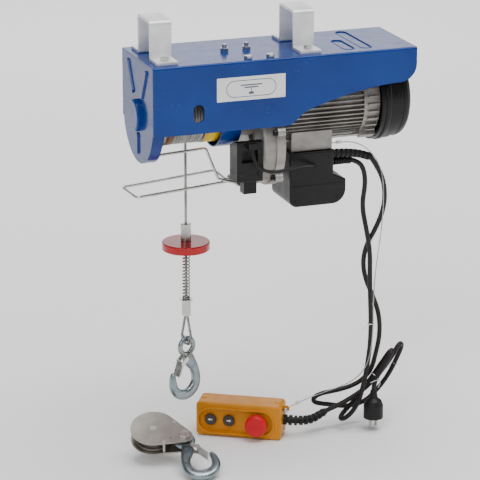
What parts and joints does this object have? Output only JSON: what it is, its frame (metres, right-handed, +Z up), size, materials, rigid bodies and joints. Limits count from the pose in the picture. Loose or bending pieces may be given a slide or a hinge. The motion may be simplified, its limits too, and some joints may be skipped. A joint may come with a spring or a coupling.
{
  "type": "electric wire rope hoist",
  "caption": "Beam-mounted electric wire rope hoist with hook, stop disc, limit levers, push-button pendant, mains lead and a loose snatch block.",
  "frame": {"origin": "centre of the beam opening, midway between the two hanger straps", "axes": "+X along the beam and the drum axis towards the motor's fan, +Y towards the back, +Z up"},
  "size_m": [0.551, 0.2682, 0.8325],
  "materials": {
    "blue_paint": "gloss",
    "zinc_plate": "satin",
    "cast_aluminium": "cast",
    "black_steel": "satin",
    "iron_core": "plain",
    "black_plastic": "satin",
    "black_cable": "satin",
    "black_rubber": "matte",
    "nickel": "satin",
    "wire_steel": "stranded",
    "white_plastic": "gloss",
    "yellow_plastic": "satin",
    "bearing_steel": "polished",
    "dark_steel": "machined",
    "red_paint": "gloss",
    "hook_zinc": "forged, zinc plated",
    "grey_button": "satin",
    "red_plastic": "gloss"
  },
  "bodies": {
    "frame": {"housing": "blue_paint", "end_cap": "blue_paint", "bulkhead": "blue_paint", "hanger_straps": "zinc_plate", "hex_bolts": "zinc_plate", "hex_nuts": "zinc_plate", "gearbox_case": "cast_aluminium", "gearbox_cover": "cast_aluminium", "gearbox_screws": "black_steel", "motor_frame": "cast_aluminium", "stator": "iron_core", "rear_end_bell": "cast_aluminium", "fan_cover": "black_plastic", "tie_rods": "zinc_plate", "control_box": "black_plastic", "capacitor": "black_plastic", "limit_switch": "black_plastic", "limit_lead": "black_cable", "cable_glands": "black_rubber", "pendant_cable": "black_cable", "pendant_cable_end": "black_cable", "cable_hank": "black_cable", "mains_cable": "black_cable", "plug_body": "black_rubber", "plug_pins": "nickel", "safety_wire": "wire_steel", "wire_crimps": "zinc_plate", "cable_tie": "white_plastic", "pendant_back": "yellow_plastic", "pendant_front": "yellow_plastic", "pendant_bellows": "black_rubber", "drum_bearings": "bearing_steel", "ball_bearings": "bearing_steel"},
    "drum": {"drum": "dark_steel", "drum_gear": "dark_steel", "wound_rope": "wire_steel"},
    "layshaft": {"layshaft": "dark_steel", "layshaft_gear": "dark_steel"},
    "rotor": {"rotor": "iron_core", "cooling_fan": "black_plastic"},
    "hook_line": {"hanging_rope": "wire_steel", "upper_ferrule": "zinc_plate", "lower_sleeve": "zinc_plate", "rope_eye": "wire_steel", "thimble": "zinc_plate", "stop_spring": "wire_steel"},
    "stop_disc": {"stop_disc": "red_paint"},
    "hook": {"hook": "hook_zinc"},
    "hook_latch": {"hook_latch": "zinc_plate"},
    "limit_lever": {"limit_lever": "zinc_plate"},
    "upper_lever": {"upper_lever": "zinc_plate"},
    "button_up": {"button_up": "grey_button"},
    "button_down": {"button_down": "grey_button"},
    "stop_button_stem": {"stop_button_stem": "black_plastic"},
    "stop_button_head": {"stop_button_head": "red_plastic"},
    "snatch_block": {"block_plates": "nickel", "block_pins": "zinc_plate"},
    "sheave": {"sheave": "nickel"},
    "block_hook": {"block_hook": "hook_zinc"},
    "block_latch": {"block_latch": "zinc_plate"}
  },
  "joints": [
    {"name": "drum_spin", "type": "hinge", "parent": "frame", "child": "drum", "pos_m": [-0.0634, 0, -0.147], "axis": [1, 0, 0], "range_deg": [-26, 110]},
    {"name": "layshaft_spin", "type": "hinge", "parent": "frame", "child": "layshaft", "pos_m": [0.0616, -0.008, -0.20899], "axis": [1, 0, 0], "range_deg": [-445, 106]},
    {"name": "rotor_spin", "type": "hinge", "parent": "frame", "child": "rotor", "pos_m": [0.1666, 0, -0.147], "axis": [1, 0, 0], "range_deg": [-850, 3600]},
    {"name": "hook_lift", "type": "slide", "parent": "frame", "child": "hook_line", "axis": [0, 0, 1], "range_m": [-0.025, 0.105], "deforming": ["hanging_rope"]},
    {"name": "disc_push", "type": "slide", "parent": "hook_line", "child": "stop_disc", "axis": [0, 0, -1], "range_m": [0, 0.03], "stiffness_N_per_m": 600, "springref_m": -0.03, "deforming": ["stop_spring"]},
    {"name": "hook_swing", "type": "hinge", "parent": "hook_line", "child": "hook", "pos_m": [-0.0584, 0.0545, -0.607], "axis": [0.3453, -0.9385, 0], "range_deg": [-30, 30]},
    {"name": "hook_latch_swing", "type": "hinge", "parent": "hook", "child": "hook_latch", "pos_m": [-0.06403, 0.05243, -0.629], "axis": [0.3453, -0.9385, 0], "range_deg": [0, 40], "stiffness_Nm_per_rad": 0.02, "springref_deg": -22.92},
    {"name": "limit_lever_swing", "type": "hinge", "parent": "frame", "child": "limit_lever", "pos_m": [0.0186, 0.016, -0.286], "axis": [0, 1, 0], "range_deg": [0, 12]},
    {"name": "upper_lever_swing", "type": "hinge", "parent": "frame", "child": "upper_lever", "pos_m": [0.0186, -0.007, -0.286], "axis": [0, 1, 0], "range_deg": [0, 3]},
    {"name": "button_up_press", "type": "slide", "parent": "frame", "child": "button_up", "axis": [0.524, 0.8517, 0], "range_m": [0, 0.003], "stiffness_N_per_m": 400, "springref_m": -0.004},
    {"name": "button_down_press", "type": "slide", "parent": "frame", "child": "button_down", "axis": [0.524, 0.8517, 0], "range_m": [0, 0.003], "stiffness_N_per_m": 400, "springref_m": -0.004},
    {"name": "stop_button_press", "type": "slide", "parent": "frame", "child": "stop_button_stem", "axis": [0.524, 0.8517, 0], "range_m": [0, 0.004]},
    {"name": "stop_button_twist", "type": "hinge", "parent": "stop_button_stem", "child": "stop_button_head", "pos_m": [0.07301, 0.04218, -0.776], "axis": [-0.524, -0.8517, 0], "range_deg": [0, 45], "stiffness_Nm_per_rad": 0.02, "springref_deg": -11.46},
    {"name": "block_lift", "type": "slide", "parent": "frame", "child": "snatch_block", "axis": [0, 0, 1], "range_m": [0, 0.15]},
    {"name": "sheave_spin", "type": "hinge", "parent": "snatch_block", "child": "sheave", "pos_m": [-0.13493, 0.01912, -0.75469], "axis": [-0.1351, -0.3752, 0.9171], "continuous": true},
    {"name": "block_hook_swing", "type": "hinge", "parent": "snatch_block", "child": "block_hook", "pos_m": [-0.0875, -0.0168, -0.7624], "axis": [-0.1351, -0.3752, 0.9171], "range_deg": [-20, 60]},
    {"name": "block_latch_swing", "type": "hinge", "parent": "block_hook", "child": "block_latch", "pos_m": [-0.07956, -0.03697, -0.76948], "axis": [0.1351, 0.3752, -0.9171], "range_deg": [0, 40], "stiffness_Nm_per_rad": 0.02, "springref_deg": -22.92}
  ],
  "couplings": [
    {"joint": "layshaft_spin", "follows": "drum_spin", "ratio": -4},
    {"joint": "rotor_spin", "follows": "drum_spin", "ratio": 32.364},
    {"joint": "hook_lift", "follows": "drum_spin", "m_per_rad": 0.0545}
  ]
}
